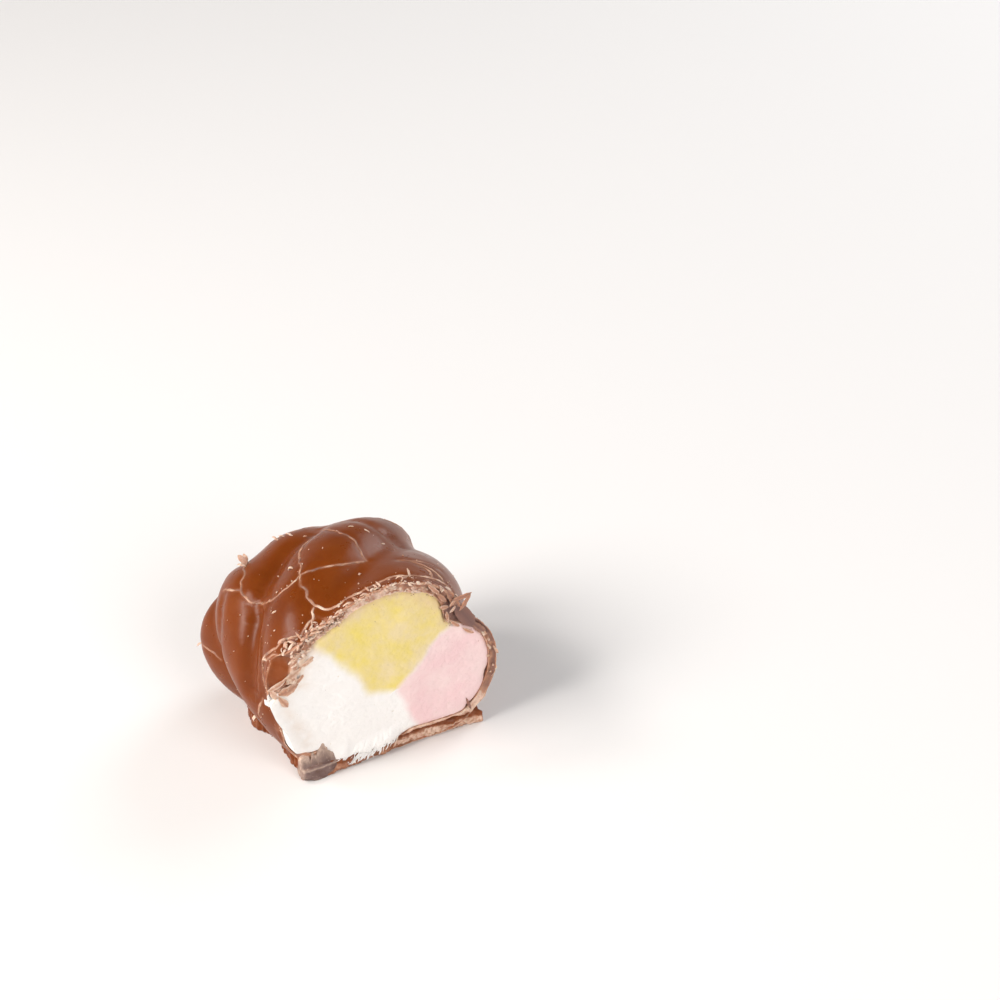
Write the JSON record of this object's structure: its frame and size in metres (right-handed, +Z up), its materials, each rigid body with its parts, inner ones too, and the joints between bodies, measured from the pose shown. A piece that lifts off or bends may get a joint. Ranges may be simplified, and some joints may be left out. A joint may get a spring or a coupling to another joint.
{
  "type": "chocolate-coated marshmallow twist half",
  "caption": "Half of a milk-chocolate-coated marshmallow twist, cut across to show yellow, pink and white strands inside a thin coat on a flat foot.",
  "frame": {"origin": "on the ground under the middle of the piece", "axes": "+Z up; the cut faces -Y and the rounded end points to +Y; +X runs across the rope, to the right as the cut is looked at"},
  "size_m": [0.0262, 0.0199, 0.0212],
  "materials": {
    "chocolate": "satin",
    "marshmallow_yellow": "matt",
    "marshmallow_pink": "matt",
    "marshmallow_white": "matt"
  },
  "bodies": {
    "root": {"chocolate_coat": "chocolate", "marshmallow_yellow": "marshmallow_yellow", "marshmallow_pink": "marshmallow_pink", "marshmallow_white": "marshmallow_white"}
  },
  "joints": []
}
